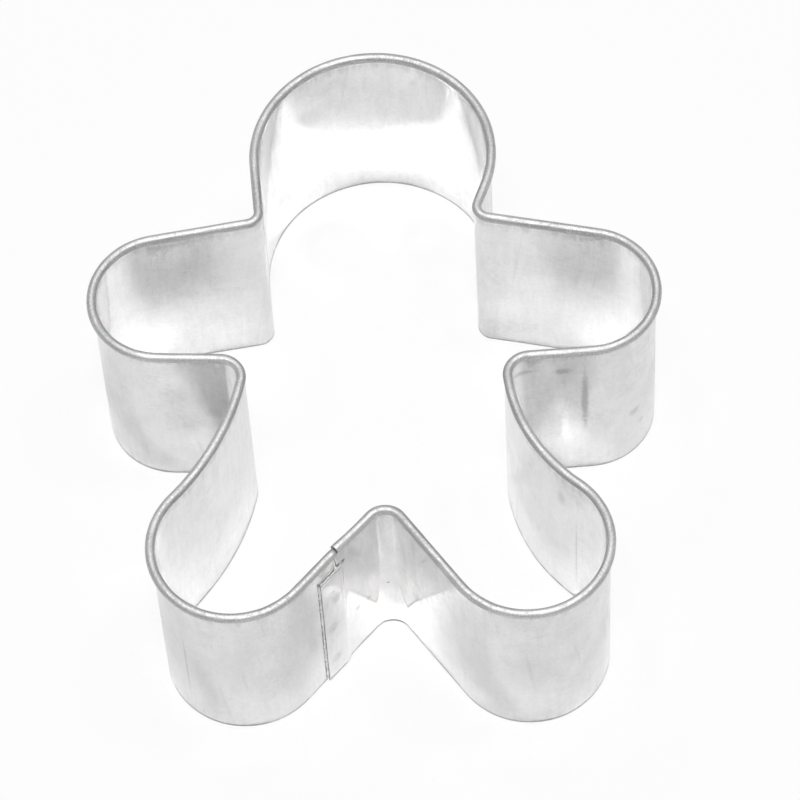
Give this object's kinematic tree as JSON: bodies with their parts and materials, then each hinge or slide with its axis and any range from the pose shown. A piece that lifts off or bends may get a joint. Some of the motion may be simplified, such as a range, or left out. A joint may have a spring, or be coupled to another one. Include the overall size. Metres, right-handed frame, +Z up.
{
  "type": "cookie cutter",
  "caption": "Gingerbread man cookie cutter: a bent tinplate band with a rolled rim to press on, a thin cutting edge below and a spot-welded lap seam.",
  "frame": {"origin": "centre of the overall box, on the plane of the cutting edge that the cutter stands on", "axes": "+Z up from the cutting edge to the rolled rim, +Y from the feet to the head, +X to the figure's side opposite the seam, seen from above with the head up"},
  "size_m": [0.0634, 0.0736, 0.0254],
  "materials": {
    "tinplate": "bright tinned steel with a soft sheen and fine handling marks",
    "weld_spot": "dull, slightly grey pressed weld spot"
  },
  "bodies": {
    "root": {"tinplate_band": "tinplate", "spot_weld_lower": "weld_spot", "spot_weld_middle": "weld_spot", "spot_weld_upper": "weld_spot"}
  },
  "joints": []
}
